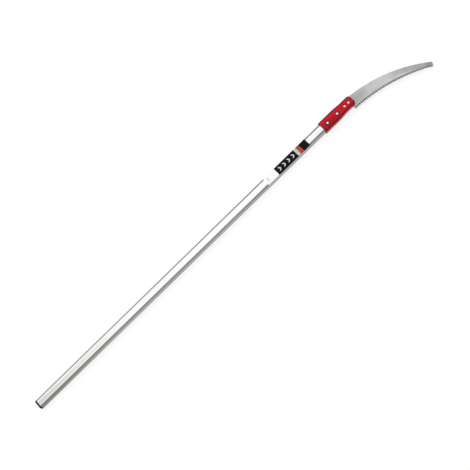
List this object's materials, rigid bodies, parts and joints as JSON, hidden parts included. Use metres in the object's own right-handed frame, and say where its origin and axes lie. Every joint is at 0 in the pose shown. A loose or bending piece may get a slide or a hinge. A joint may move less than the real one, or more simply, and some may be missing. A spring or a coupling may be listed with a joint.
{
  "type": "telescoping pole saw",
  "caption": "Two-section telescoping pole saw: oval aluminium pole with a snap-button lock, red riveted head and a curved pull-cut pruning blade, shown collapsed.",
  "frame": {"origin": "centre of the butt cap's end face, on the pole's axis", "axes": "+X along the pole from the butt towards the blade, +Z out of the label side, square to the blade, +Y towards the blade's spine, teeth towards -Y"},
  "size_m": [1.8168, 0.1404, 0.0305],
  "materials": {
    "pole_aluminium": "extruded, satin anodised",
    "black_plastic": "moulded, matt",
    "label_film": "printed film",
    "zinc_steel": "zinc plated",
    "spring_steel": "drawn wire",
    "red_plastic": "moulded, glossy",
    "blade_steel": "satin ground, hardened tooth line",
    "rivet_aluminium": "bright"
  },
  "bodies": {
    "outer_pole": {"outer_tube": "pole_aluminium", "butt_cap": "black_plastic", "mouth_bush": "black_plastic", "label_film": "label_film"},
    "inner_pole": {"inner_tube": "pole_aluminium", "tail_bush": "black_plastic", "lock_housing": "black_plastic", "tail_pin": "zinc_steel", "lock_spring": "spring_steel", "front_shell": "red_plastic", "rear_shell": "red_plastic", "tube_plug": "black_plastic", "saw_blade": "blade_steel", "pole_rivets": "rivet_aluminium", "rivet_washers": "zinc_steel", "blade_bolts": "zinc_steel", "blade_washers": "zinc_steel", "blade_nuts": "zinc_steel"},
    "lock": {"lock_button": "zinc_steel"}
  },
  "joints": [
    {"name": "pole_slide", "type": "slide", "parent": "outer_pole", "child": "inner_pole", "axis": [1, 0, 0], "range_m": [0, 1]},
    {"name": "button_press", "type": "slide", "parent": "inner_pole", "child": "lock", "axis": [0, 1, 0], "range_m": [0, 0.0045], "stiffness_N_per_m": 800, "springref_m": 0.0075, "deforming": ["lock_spring"]}
  ]
}
